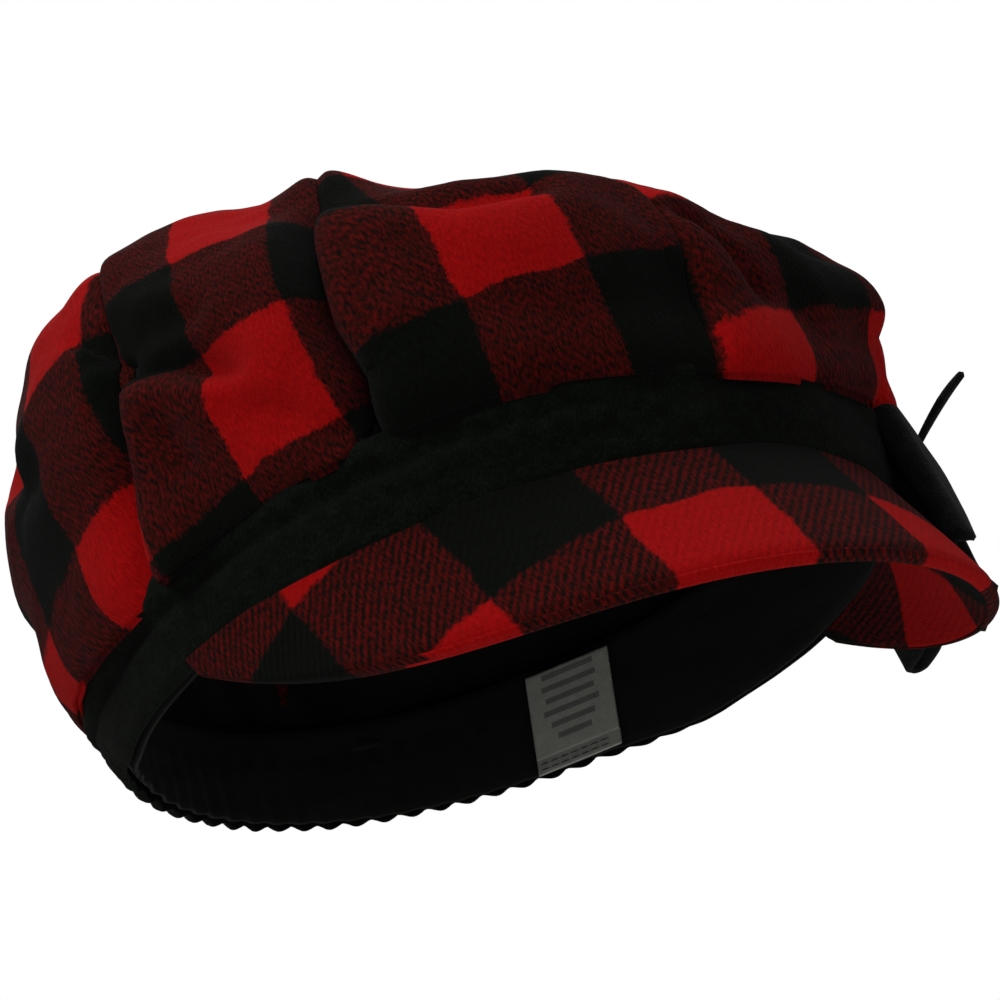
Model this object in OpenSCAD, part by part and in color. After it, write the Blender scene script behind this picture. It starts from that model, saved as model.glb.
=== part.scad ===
// Baker-boy cap: eight-panel puffed crown, felt band, curved brim, side bow.
// Millimetres. Origin: middle of the head opening, in the plane of the
// band's lower edge. +Z towards the crown, brim towards -Y, bow at +X.
// Angles round the cap run from the front (0) towards the bow side (90).

/* [Head opening] */
// Inside half width of the head opening, side to side
opening_half_width = 86; // [80:0.5:92]
// Inside half length of the head opening, front to back
opening_half_length = 95.5; // [90:0.5:102]

/* [Band] */
// Height of the felt band
band_height = 22; // [20:1:26]
// Thickness of the band's felt
band_felt = 2; // [1.6:0.1:2.4]
// How far the band leans outward at its top edge
band_flare = 4.5; // [3:0.5:6]
// Height of the lengthwise crease in the band
crease_height = 14; // [12:1:15]
// Height of the sweatband inside the cap
sweatband_height = 30; // [27:1:34]
// Width of the elastic tape inside the back of the band
elastic_width = 8; // [6:1:9]
// Angle of the back that the elastic gathers
elastic_span = 110; // [80:5:140]

/* [Crown] */
// Height of the crown above the band's lower edge
crown_height = 101; // [96:1:115]
// Height at which the crown is widest
crown_waist = 48; // [42:1:60]
// How far the crown stands out past the band's top edge
crown_overhang = 4; // [3:0.5:8]
// How far each panel puffs out between its seams
panel_puff = 4; // [1:0.5:6]
// Thickness of one crown panel with its backing
panel_thick = 2.4; // [1.6:0.1:3]
// Fall of the crown's top for each millimetre towards its low side
crown_lean = 0.2; // [0:0.01:0.24]
// Direction of the crown's low side, from the front
lean_angle = 52; // [0:1:90]
// Radius of the covered button at the peak
button_radius = 10; // [8:0.5:12]

/* [Brim] */
// Depth of the brim at the front, from the band to its edge
brim_depth = 43; // [36:1:50]
// Angle round the cap from the front to each end of the brim
brim_reach = 84; // [76:1:88]
// Slope of the brim below the level of the head opening
brim_slope = 58; // [40:1:65]
// Thickness of the brim's stiff board
board_thick = 1.2; // [1:0.1:1.6]
// Thickness of each fabric cover on the brim
cover_thick = 1.3; // [1:0.1:1.6]
// Free angle that the brim can bend up
brim_up = 7; // [4:1:9]
// Free angle that the brim can bend down
brim_down = 3; // [2:1:4]

/* [Bow] */
// Angle round the cap from the front to the knot
bow_angle = 66; // [60:1:72]
// Height of the knot's middle
bow_height = 10; // [8:1:12]
// Width of the felt strip at the fold of a loop
loop_width = 36; // [30:1:40]
// Length of a loop from the knot to its fold
loop_length = 36; // [34:1:44]
// Length of the hanging tail
tail_length = 31; // [28:1:40]
// Length of the upper tail
tip_length = 26; // [20:1:30]

/* [Label] */
// Angle round the cap from the front to the care label
label_angle = 134.5; // [120:1:150]
// Width of the care label
label_width = 22; // [18:1:26]
// Length of the label's loose flap
label_flap = 20.5; // [16:1:32]

/* [Hidden] */

panel_angle = 45;
half_panel = panel_angle / 2;
seam_gap = 0.25;
layer_gap = 0.2;
sweatband_thick = 1;
lining_thick = 0.7;
tape_thick = 0.7;
band_inner = sweatband_thick + tape_thick + 2 * layer_gap;
band_outer = band_inner + band_felt;
crown_foot = band_height + 0.4;
lower_share = 0.25;
panel_end = 0.985;
shoulder_power = 2 / 2.8;
dome_power = 2 / 2.4;
brim_axis_y = -70;
bend_spare = 0.3;
brim_taper = 4.8;
brim_grow = band_inner + band_felt / 2;
cover_near = board_thick / 2 + layer_gap;
cover_far = cover_near + cover_thick;
brim_clear = 0.6;
strip_thick = 1.8;
loop_fold = 2.3;
loop_stand = 5.1;
loop_tilt = 10;
knot_depth = 10;
knot_base = 2.4;
knot_tall = 17;
knot_half = 7;
flap_thick = 0.9;
tab_height = 3.4;
label_rise = 3.5;
black_felt = "#16181a";
red_plaid = "#8f1518";
dark_plaid = "#3a1416";
black_satin = "#101114";

// ---- Shared geometry ----

// Point at angle t round the cap, grown outward from the head opening
function oval(t, grow, z) = [
  (opening_half_width + grow) * sin(t),
  -(opening_half_length + grow) * cos(t),
  z
];

// How far the band's outer face stands out from the opening at height z
function band_face(z) = band_outer + band_flare * z / band_height;

// Closed solid between two faces of a grid; place(u, v, side) gives a point
module slab(across, along, place) {
  layer = (across + 1) * (along + 1);
  function id(side, i, j) = side * layer + j * (across + 1) + i;
  function pair(a, b, c, d) = [[a, b, c], [a, c, d]];
  points = [
    for (side = [0, 1]) for (j = [0:along]) for (i = [0:across])
      place(i / across, j / along, side)
  ];
  faces = [
    for (j = [0:along - 1]) for (i = [0:across - 1])
      each pair(id(0, i, j), id(0, i, j + 1), id(0, i + 1, j + 1), id(0, i + 1, j)),
    for (j = [0:along - 1]) for (i = [0:across - 1])
      each pair(id(1, i, j), id(1, i + 1, j), id(1, i + 1, j + 1), id(1, i, j + 1)),
    for (j = [0:along - 1])
      each pair(id(0, 0, j), id(1, 0, j), id(1, 0, j + 1), id(0, 0, j + 1)),
    for (j = [0:along - 1])
      each pair(id(0, across, j), id(0, across, j + 1), id(1, across, j + 1), id(1, across, j)),
    for (i = [0:across - 1])
      each pair(id(0, i, 0), id(0, i + 1, 0), id(1, i + 1, 0), id(1, i, 0)),
    for (i = [0:across - 1])
      each pair(id(0, i, along), id(1, i, along), id(1, i + 1, along), id(0, i + 1, along))
  ];
  polyhedron(points, faces, convexity = 6);
}

// Ring round the whole cap; section is a list of [grow, z], outside first
module ring(section, steps) {
  n = len(section);
  function id(k, m) = (k % steps) * n + (m % n);
  points = [for (k = [0:steps - 1]) for (p = section) oval(k * 360 / steps, p[0], p[1])];
  faces = [
    for (k = [0:steps - 1]) for (m = [0:n - 1])
      each [
        [id(k, m), id(k + 1, m), id(k + 1, m + 1)],
        [id(k, m), id(k + 1, m + 1), id(k, m + 1)]
      ]
  ];
  polyhedron(points, faces, convexity = 6);
}

// Moves children to the band's outer face: x outward, y towards the back
module at_band(t, z) {
  spot = oval(t, band_face(z), z);
  out = [sin(t) / opening_half_width, -cos(t) / opening_half_length];
  translate(spot)
    rotate([0, 0, atan2(out[1], out[0])])
      children();
}

// ---- Crown ----

// Share of the widest oval that the crown keeps at v, from foot to peak
function crown_share(v) =
  v < lower_share
    ? 1 - crown_overhang / opening_half_width * pow(1 - v / lower_share, 2)
    : pow(cos(90 * (v - lower_share) / (1 - lower_share)), shoulder_power);

// Height of the crown's outer face at v, before it leans
function crown_rise(v) =
  v < lower_share
    ? crown_foot + (crown_waist - crown_foot) * v / lower_share
    : crown_waist + (crown_height - crown_waist)
      * pow(sin(90 * (v - lower_share) / (1 - lower_share)), dome_power);

// Point on the crown, moved in by depth; puff swells it between the seams
function crown_point(t, v, depth, puff) =
  let (
    grow = band_face(band_height) + crown_overhang + puff * sin(180 * v) - depth,
    share = crown_share(v),
    x = (opening_half_width + grow) * share * sin(t),
    y = -(opening_half_length + grow) * share * cos(t),
    rise = crown_rise(v),
    top = max(0, (rise - crown_foot) / (crown_height - crown_foot)),
    low_side = x * sin(lean_angle) - y * cos(lean_angle)
  )
  [x, y, rise - depth * top - crown_lean * low_side * top];

// One gore of the crown, up to the button's hole; order counts round from
// the front towards the bow
module crown_panel(order) {
  middle = order * panel_angle + half_panel;
  function edge(v) = seam_gap / (opening_half_width * crown_share(v)) * 180 / PI;
  slab(10, 12, function(u, v, side)
    let (
      w = v * panel_end,
      turn = (2 * u - 1) * (half_panel - edge(w)),
      puff = panel_puff * (1 - pow(2 * u - 1, 2))
    )
    crown_point(middle + turn, w, side * panel_thick, puff));
}

module crown_panel_front_left() {
  color(dark_plaid) crown_panel(0);
}

module crown_panel_left_front() {
  color(red_plaid) crown_panel(1);
}

module crown_panel_left_back() {
  color(dark_plaid) crown_panel(2);
}

module crown_panel_back_left() {
  color(red_plaid) crown_panel(3);
}

module crown_panel_back_right() {
  color(dark_plaid) crown_panel(4);
}

module crown_panel_right_back() {
  color(red_plaid) crown_panel(5);
}

module crown_panel_right_front() {
  color(dark_plaid) crown_panel(6);
}

module crown_panel_front_right() {
  color(red_plaid) crown_panel(7);
}

// Covered button with a short shank that sits in the hole at the peak
module top_button() {
  dome = 4;
  tilt = atan(crown_lean);
  color(red_plaid)
    translate([0, 0, crown_height + 0.5])
      rotate([tilt * cos(lean_angle), tilt * sin(lean_angle), 0])
        rotate_extrude($fn = 48)
          union() {
            intersection() {
              translate([0, dome - dome_sphere(dome)])
                circle(r = dome_sphere(dome), $fn = 96);
              square([button_radius, dome]);
            }
            translate([0, -2])
              square([button_radius / 4, 2.01]);
          }
}

// Radius of the sphere whose cap has the button's radius and this height
function dome_sphere(h) = (button_radius * button_radius + h * h) / (2 * h);

// Thin lining, clear inside the panels, closed at the peak
module crown_lining() {
  inset = panel_thick + 1.2;
  rings = 11;
  steps = 40;
  function id(side, k, j) = side * (steps * rings + 1) + j * steps + (k % steps);
  function peak(side) = side * (steps * rings + 1) + steps * rings;
  points = [
    for (side = [0, 1])
      each concat(
        [
          for (j = [0:rings - 1]) for (k = [0:steps - 1])
            crown_point(k * 360 / steps, j / rings, inset + side * lining_thick, 0)
        ],
        [crown_point(0, 1, inset + side * lining_thick, 0)]
      )
  ];
  faces = [
    for (j = [0:rings - 2]) for (k = [0:steps - 1])
      each [
        [id(0, k, j), id(0, k, j + 1), id(0, k + 1, j + 1)],
        [id(0, k, j), id(0, k + 1, j + 1), id(0, k + 1, j)],
        [id(1, k, j), id(1, k + 1, j + 1), id(1, k, j + 1)],
        [id(1, k, j), id(1, k + 1, j), id(1, k + 1, j + 1)]
      ],
    for (k = [0:steps - 1])
      each [
        [id(0, k, rings - 1), peak(0), id(0, k + 1, rings - 1)],
        [id(1, k, rings - 1), id(1, k + 1, rings - 1), peak(1)],
        [id(0, k, 0), id(0, k + 1, 0), id(1, k + 1, 0)],
        [id(0, k, 0), id(1, k + 1, 0), id(1, k, 0)]
      ]
  ];
  color(black_satin)
    polyhedron(points, faces, convexity = 8);
}

// ---- Band and what lies behind it ----

module outer_band() {
  lip = 0.6;
  groove = 0.9;
  fold = 0.5;
  color(black_felt)
    ring([
      [band_face(0) - lip, 0],
      [band_face(2), 2],
      [band_face(crease_height / 2) + fold, crease_height / 2],
      [band_face(crease_height) - groove, crease_height],
      [band_face(crease_height + 3) + fold, crease_height + 3],
      [band_face(band_height - 2) + fold, band_height - 2],
      [band_face(band_height) - lip, band_height],
      [band_face(band_height) - band_felt, band_height],
      [band_face(crease_height) - band_felt, crease_height],
      [band_inner, 2],
      [band_inner, 0]
    ], 72);
}

// Interlining of the band, above the elastic
module band_interlining() {
  low = elastic_width + 5;
  high = band_height - 1;
  near = sweatband_thick + layer_gap;
  color("#2a2a2c")
    ring([
      [near + tape_thick, low],
      [near + tape_thick, high],
      [near, high],
      [near, low]
    ], 72);
}

module sweatband() {
  color(black_satin)
    ring([
      [sweatband_thick, 0],
      [sweatband_thick, sweatband_height],
      [0, sweatband_height],
      [0, 0]
    ], 72);
}

// Elastic tape that gathers the back of the band
module back_elastic() {
  low = 3;
  near = sweatband_thick + layer_gap;
  color("#1c1c1e")
    slab(24, 1, function(u, v, side)
      oval(180 + (u - 0.5) * elastic_span, near + (1 - side) * tape_thick,
           low + v * elastic_width));
}

// ---- Brim ----

// Depth of the brim at angle t
function brim_run(t) = brim_depth * (1 - pow(abs(t) / (brim_reach + 2), brim_taper));

// Room below the band for the brim's bend at distance y from the front
function brim_room(y) =
  brim_clear + max((brim_axis_y - y) * tan(brim_up + bend_spare),
                   (y - brim_axis_y) * tan(brim_down + bend_spare));

// Point on the brim: v runs from the band to the edge, lift is off its
// middle, and past carries it on beyond the edge
function brim_point(t, v, lift, past = 0) =
  let (
    run = [0, -cos(brim_slope), -sin(brim_slope)],
    seat = oval(t, brim_grow, 0),
    side = oval(t + 90, brim_grow, 0),
    normal = cross(side, run),
    start = brim_room(seat[1]) / sin(brim_slope),
    reach = start + v * max(1.5, brim_run(t) - start) + past
  )
  seat + reach * run - lift * normal / norm(normal);

// One layer of the brim between two lifts, from one depth share to another
module brim_layer(low, high, from, to, reach) {
  slab(44, 2, function(u, v, side)
    brim_point((2 * u - 1) * reach, from + v * (to - from), side == 0 ? high : low));
}

module brim_top_cover() {
  color(red_plaid)
    brim_layer(cover_near, cover_far, 0, 1, brim_reach);
}

module brim_board() {
  inset = 3;
  color("#c9c7bf")
    brim_layer(-board_thick / 2, board_thick / 2, 0.04, 0.97, brim_reach - inset);
}

module brim_under_cover() {
  color(dark_plaid)
    brim_layer(-cover_far, -cover_near, 0, 1, brim_reach);
}

// Turned seam that joins the two covers round the brim's edge
module brim_edge_seam() {
  width = 1.2;
  color(dark_plaid)
    slab(44, 1, function(u, v, side)
      brim_point((2 * u - 1) * brim_reach, 1, side == 0 ? cover_far : -cover_far,
                 seam_gap + v * width));
}

// ---- Bow ----

// Felt loop that lies along the band; way is -1 towards the front and 1
// towards the back, and drop is how far its fold hangs below the knot
module bow_loop(way, length, drop) {
  leaf = 0.42;
  neck = 0.36;
  mm_per_degree = (opening_half_length + band_outer) * PI / 180;
  function turn(u) = 180 * min(1, max(0, (u - leaf) / (1 - 2 * leaf)));
  function run(u) = length * min(1, u / leaf, (1 - u) / leaf);
  function spread(s) = loop_width * (neck + (1 - neck) * sin(90 * min(1, 1.2 * s / length)));
  function place(u, v, side) =
    let (
      off = (side - 0.5) * strip_thick,
      s = run(u) + (loop_fold - off) * sin(turn(u)),
      lift = loop_fold * (1 - cos(turn(u))) + off * cos(turn(u)),
      h = (v - 0.5) * spread(run(u)),
      tilt = loop_tilt * min(1, run(u) / (0.5 * length)),
      grow = band_face(bow_height) + loop_stand + lift + (loop_width / 4 - h) * tan(tilt)
    )
    oval(bow_angle + way * (knot_half + seam_gap + s) / mm_per_degree,
         grow, bow_height + h - drop * run(u) / length);
  if (way > 0)
    slab(36, 4, function(u, v, side) place(1 - u, v, side));
  else
    slab(36, 4, function(u, v, side) place(u, v, side));
}

module bow_loop_front() {
  color(black_felt)
    bow_loop(-1, loop_length, 5);
}

module bow_loop_back() {
  color(black_felt)
    bow_loop(1, loop_length - 10, 6);
}

// Knot: a pad of felt wrapped round the middle of the bow
module bow_knot() {
  corner = 3;
  crown = 2;
  color(black_felt)
    at_band(bow_angle, bow_height)
      translate([knot_base, 0, 0])
        hull() {
          for (y = [-1, 1])
            for (z = [-1, 1])
              translate([0, y * (knot_half - corner), z * (knot_tall / 2 - corner)])
                rotate([0, 90, 0])
                  cylinder(r = corner, h = knot_depth - crown, $fn = 20);
          rotate([0, 90, 0])
            cylinder(r = knot_half - 2.5, h = knot_depth, $fn = 20);
        }
}

// Thread that holds the knot to the band
module bow_tack() {
  start = 0.8;
  color("#1b1b1d")
    at_band(bow_angle, bow_height)
      for (z = [-3, 3])
        translate([start, 0, z])
          rotate([0, 90, 0])
            cylinder(r = 0.7, h = knot_base - start - 0.1, $fn = 16);
}

// Hanging tail with a slanted square end, outside the knot
module bow_tail_lower() {
  top = 3;
  broad = 17;
  narrow = 9;
  slant = 3;
  color(black_felt)
    at_band(bow_angle, bow_height)
      translate([knot_base + knot_depth + seam_gap, 0, top])
        rotate([0, 90, 0])
          linear_extrude(height = strip_thick)
            polygon([
              [0, -narrow / 2],
              [0, narrow / 2],
              [tail_length, broad / 2],
              [tail_length - slant, -broad / 2]
            ]);
}

// Upper tail, which stands up and out from the knot to a pointed end
module bow_tail_upper() {
  lift = 45;
  broad = 12;
  color(black_felt)
    at_band(bow_angle, bow_height)
      translate([knot_base + knot_depth / 2, 0, knot_tall / 2 + 0.6])
        rotate([0, -lift, 0])
          linear_extrude(height = strip_thick)
            polygon([
              [0, -4],
              [0, 4],
              [tip_length * 0.6, broad / 2],
              [tip_length, 0],
              [tip_length * 0.6, -broad / 2]
            ]);
}

// ---- Care label ----

// Moves children to the sweatband's inner face: x inward, z up
module at_label(z) {
  spot = oval(label_angle, 0, z);
  out = [sin(label_angle) / opening_half_width, -cos(label_angle) / opening_half_length];
  translate(spot)
    rotate([0, 0, atan2(-out[1], -out[0])])
      children();
}

// Sewn end of the folded label
module label_tab() {
  color("#d8d8d4")
    at_label(label_rise)
      translate([0.9, -label_width / 2, 0])
        cube([flap_thick, label_width, tab_height]);
}

// Two rows of thread across the sewn end
module label_stitches() {
  color("#303236")
    at_label(label_rise)
      for (row = [0.9, 2.2])
        translate([0.95 + flap_thick, 1 - label_width / 2, row])
          cube([0.3, label_width - 2, 0.35]);
}

// Loose flap of the label, folded at its free end
module care_label() {
  color("#d8d8d4")
    at_label(label_rise + tab_height + 0.3)
      translate([0.9, -label_width / 2, 0])
        cube([flap_thick, label_width, label_flap]);
}

crown_panel_front_left();
crown_panel_left_front();
crown_panel_left_back();
crown_panel_back_left();
crown_panel_back_right();
crown_panel_right_back();
crown_panel_right_front();
crown_panel_front_right();
top_button();
crown_lining();
outer_band();
band_interlining();
sweatband();
back_elastic();
brim_top_cover();
brim_board();
brim_under_cover();
brim_edge_seam();
bow_knot();
bow_tack();
bow_loop_front();
bow_loop_back();
bow_tail_lower();
bow_tail_upper();
label_tab();
label_stitches();
care_label();
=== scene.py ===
import math

import bmesh
import bpy
import numpy as np
from mathutils import Matrix, Vector


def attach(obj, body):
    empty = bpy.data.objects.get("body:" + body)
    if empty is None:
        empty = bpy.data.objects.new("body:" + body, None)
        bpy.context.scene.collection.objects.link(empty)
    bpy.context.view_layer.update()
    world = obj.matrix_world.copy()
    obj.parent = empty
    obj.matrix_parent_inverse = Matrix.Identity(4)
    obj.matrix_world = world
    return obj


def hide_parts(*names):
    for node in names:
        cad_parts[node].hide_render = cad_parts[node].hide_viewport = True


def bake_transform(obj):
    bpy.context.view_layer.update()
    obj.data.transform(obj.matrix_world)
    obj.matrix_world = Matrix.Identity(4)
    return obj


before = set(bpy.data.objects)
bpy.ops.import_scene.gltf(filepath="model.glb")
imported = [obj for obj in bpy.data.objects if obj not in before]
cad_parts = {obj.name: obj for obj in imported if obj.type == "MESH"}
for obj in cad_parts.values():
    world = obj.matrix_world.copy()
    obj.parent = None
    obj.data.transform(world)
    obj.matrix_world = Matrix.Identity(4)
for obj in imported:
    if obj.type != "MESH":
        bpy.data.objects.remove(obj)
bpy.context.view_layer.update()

# ---------- sizes, mm

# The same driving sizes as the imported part
OPENING_HALF_WIDTH, OPENING_HALF_LENGTH = 86.0, 95.5
BAND_HEIGHT, BAND_FELT, BAND_FLARE, BAND_OUTER = 22.0, 2.0, 4.5, 4.1
CROWN_OVERHANG, CROWN_WAIST = 4.0, 48.0
CROWN_HEIGHT = 101.0
CROWN_LEAN, LEAN_ANGLE = 0.2, math.radians(52)
LOWER_SHARE, SHOULDER_POWER, DOME_POWER = 0.25, 2 / 2.8, 2 / 2.4
CROWN_FOOT = BAND_HEIGHT + 0.4
PANEL_ANGLE, PANEL_END = 45.0, 0.985
BRIM_DEPTH, BRIM_REACH, BRIM_SLOPE = 43.0, 84.0, math.radians(58)
BRIM_TAPER, BRIM_REACH_BOW, BRIM_TAPER_BOW, BRIM_GROW = 4.8, 86.6, 4.9, 3.1
CHECK = 29.5
PANELS = (
    "front_left", "left_front", "left_back", "back_left",
    "back_right", "right_back", "right_front", "front_right",
)


# ---------- mesh helpers


def spots(x, y, z=0.0):
    """Points, or coordinates on cloth, from arrays of their parts."""
    return np.stack(np.broadcast_arrays(x, y, z), axis=-1)


def oval(t, grow, z):
    """Points at angle t (degrees, from the front towards the bow) round the cap."""
    a = np.radians(t)
    x = (OPENING_HALF_WIDTH + grow) * np.sin(a)
    return spots(x, -(OPENING_HALF_LENGTH + grow) * np.cos(a), z)


def unit(v):
    return v / np.maximum(np.linalg.norm(v, axis=-1, keepdims=True), 1e-9)


def length_along(points):
    """Distance along a line of points to each of them."""
    return np.concatenate([[0], np.cumsum(np.linalg.norm(np.diff(points, axis=0), axis=-1))])


def smooth(x, low, high):
    """0 below low, 1 above high, and an even S between them."""
    s = np.clip((x - low) / (high - low), 0, 1)
    return s * s * (3 - 2 * s)


def bump(x, middle, width):
    return np.exp(-(((x - middle) / width) ** 2))


def ripple(points, seed, size, count=8):
    """Smooth uneven waves of about the given size at points in mm, from -1 to 1."""
    draw = np.random.default_rng(seed)
    total = np.zeros(points.shape[:-1])
    for _ in range(count):
        way = draw.normal(size=3)
        way /= np.linalg.norm(way)
        phase, stretch = draw.uniform(0, 2 * math.pi), draw.uniform(0.7, 1.5)
        total += np.sin(points @ way * (2 * math.pi / (size * stretch)) + phase)
    return total / math.sqrt(count) * 0.8


def turned_by(t, middle):
    """Degrees from middle to t, the short way round."""
    return (t - middle + 180) % 360 - 180


def normals(grid):
    """Unit normals of a grid of points, by differences."""
    return unit(np.cross(np.gradient(grid, axis=1), np.gradient(grid, axis=0)))


def show(thing):
    """Puts an object into the scene."""
    bpy.context.scene.collection.objects.link(thing)


def make(name, points, faces, material, cut=None):
    """A smooth-shaded mesh object from points in mm, with the cloth's own coordinates as 'cut'."""
    mesh = bpy.data.meshes.new(name)
    mesh.from_pydata((np.asarray(points) * 0.001).tolist(), [], faces)
    if cut is not None:
        layer = mesh.attributes.new("cut", "FLOAT_VECTOR", "POINT")
        layer.data.foreach_set("vector", np.asarray(cut, np.float32).ravel())
    work = bmesh.new()
    work.from_mesh(mesh)
    bmesh.ops.recalc_face_normals(work, faces=work.faces)
    work.to_mesh(mesh)
    work.free()
    mesh.polygons.foreach_set("use_smooth", [True] * len(mesh.polygons))
    mesh.materials.append(material)
    thing = bpy.data.objects.new(name, mesh)
    show(thing)
    return thing


def stand_in(piece, node, body="cap"):
    """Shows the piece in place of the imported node, on its body."""
    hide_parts(node)
    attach(piece, body)


def repaint(node, material):
    """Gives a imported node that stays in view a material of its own."""
    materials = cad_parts[node].data.materials
    materials.clear()
    materials.append(material)


# How far a cut edge bulges, as a share of half the cloth's thickness
RIM_ROUNDING = 0.8


def shell(name, outer, inner, material, cut=None, wrap=False):
    """A closed sheet between two grids of points, with rounded rims.

    wrap joins its first and last columns."""
    rows, columns = outer.shape[:2]
    if cut is None:
        cut = np.zeros(outer.shape)
    size = rows * columns
    ids = np.arange(size).reshape(rows, columns)
    points, coords, faces = [outer.reshape(-1, 3), inner.reshape(-1, 3)], [cut.reshape(-1, 3)] * 2, []
    for row in range(rows - 1):
        for column in range(columns if wrap else columns - 1):
            after = (column + 1) % columns
            a, b, c, d = (int(ids[spot]) for spot in (
                (row, column), (row, after), (row + 1, after), (row + 1, column)))
            faces.append((a, b, c, d))
            faces.append((d + size, c + size, b + size, a + size))
    # each open edge is joined through a rounded middle line
    every = slice(None)
    edges = [((0, every), (1, every)), ((-1, every), (-2, every))]
    if not wrap:
        edges += [((every, 0), (every, 1)), ((every, -1), (every, -2))]
    count, firsts = 2 * size, []
    for at, before in edges:
        middle = (outer[at] + inner[at]) / 2
        away = unit(middle - (outer[before] + inner[before]) / 2)
        half = np.linalg.norm(outer[at] - inner[at], axis=-1, keepdims=True) / 2
        points.append(middle + away * half * RIM_ROUNDING)
        coords.append(cut[at])
        top, n = ids[at].tolist(), len(middle)
        for k in range(n if wrap else n - 1):
            after = (k + 1) % n
            m, m2 = count + k, count + after
            faces.append((top[k], top[after], m2, m))
            faces.append((m, m2, top[after] + size, top[k] + size))
        firsts.append(count)
        count += n
    if not wrap:
        low, high, left, right = firsts
        for row in (0, rows - 1):
            for column in (0, columns - 1):
                corner = int(ids[row, column])
                row_line = (high if row else low) + column
                column_line = (right if column else left) + row
                faces.append((corner, row_line, column_line))
                faces.append((corner + size, column_line, row_line))
    return make(name, np.concatenate(points), faces, material, np.concatenate(coords))


def strip(name, path, across, widths, thickness, material, columns=9, edge_wave=0.0):
    """A felt strip: path is its centre line, across the direction of its width at each point."""
    path, across = np.asarray(path, float), np.asarray(across, float)
    across = unit(across)
    out = unit(np.cross(unit(np.gradient(path, axis=0)), across))
    u = np.linspace(-1, 1, columns)
    half = np.asarray(widths, float)[:, None] / 2
    middle = path[:, None] + across[:, None] * (u[None, :] * half)[..., None]
    length = length_along(path)
    wave = edge_wave * np.sin(length / 7.0)[:, None] * u[None, :] ** 2
    middle = middle + out[:, None] * wave[..., None]
    cut = spots(u[None, :] * half, length[:, None])
    lift = out[:, None] * thickness / 2
    return shell(name, middle + lift, middle - lift, material, cut)


# ---------- materials


class Shade:
    """A material's node tree, built a node at a time. Coordinates are in mm on the cloth."""

    def __init__(self, name, **sockets):
        self.material = bpy.data.materials.new(name)
        self.material.use_nodes = True
        self.tree = self.material.node_tree
        self.shader = self.tree.nodes["Principled BSDF"]
        for socket, value in sockets.items():
            self.shader.inputs[socket.replace("_", " ")].default_value = value
        self.cut = self.add("ShaderNodeAttribute", attribute_name="cut").outputs["Vector"]

    def add(self, kind, inputs=None, **settings):
        node = self.tree.nodes.new(kind)
        for key, value in settings.items():
            setattr(node, key, value)
        for key, value in (inputs or {}).items():
            self.put(node.inputs[key], value)
        return node

    def put(self, socket, value):
        if isinstance(value, bpy.types.NodeSocket):
            self.tree.links.new(value, socket)
        else:
            socket.default_value = value

    def calc(self, operation, *values):
        node = self.add("ShaderNodeMath", operation=operation)
        for socket, value in zip(node.inputs, values):
            self.put(socket, value)
        return node.outputs[0]

    def noise(self, scale, detail=2.0, stretch=(1, 1, 1), turn=0.0, colour=False):
        place = self.add("ShaderNodeMapping", {
            "Vector": self.cut, "Scale": stretch, "Rotation": (0, 0, turn)})
        node = self.add("ShaderNodeTexNoise", {
            "Vector": place.outputs[0], "Scale": scale, "Detail": detail})
        return node.outputs["Color" if colour else "Fac"]

    def ramp(self, value, low, high, start=0.0, end=1.0):
        node = self.add("ShaderNodeMapRange", {
            "Value": value, "From Min": low, "From Max": high, "To Min": start, "To Max": end},
            interpolation_type="SMOOTHSTEP")
        return node.outputs[0]

    def mix(self, share, first, second):
        node = self.add("ShaderNodeMix", data_type="RGBA")
        self.put(node.inputs[0], share)
        self.put(node.inputs[6], first)
        self.put(node.inputs[7], second)
        return node.outputs[2]

    def split(self, vector):
        node = self.add("ShaderNodeSeparateXYZ", {0: vector})
        return node.outputs[0], node.outputs[1]

    def sway(self, value, amount, onto):
        """onto, moved up and down by amount as value goes either side of a half."""
        return self.calc("MULTIPLY_ADD", self.calc("SUBTRACT", value, 0.5), amount, onto)

    def woven(self, across_rate, along_rate):
        """Fine threads both ways."""
        x, y = self.split(self.cut)
        across = self.calc("SINE", self.calc("MULTIPLY", x, across_rate))
        along = self.calc("SINE", self.calc("MULTIPLY", y, along_rate))
        return self.calc("MULTIPLY", across, along)

    def finish(self, colour, height, depth):
        """The material, with its colour and its relief: a height field and its depth in metres."""
        self.put(self.shader.inputs["Base Color"], colour)
        relief = self.add("ShaderNodeBump", {"Height": height, "Strength": 0.8, "Distance": depth})
        self.put(self.shader.inputs["Normal"], relief.outputs[0])
        return self.material


def times(colour, factor):
    """An opaque colour made lighter or darker."""
    return tuple(factor * c for c in colour[:3]) + (1,)


RED, BLACK = (0.45, 0.0045, 0.0048, 1), (0.0040, 0.0052, 0.0036, 1)
RIB_PITCH, EDGE_BLUR, EDGE_WANDER, EDGE_FRAY = 1.55, 0.55, 3.0, 2.4


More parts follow.
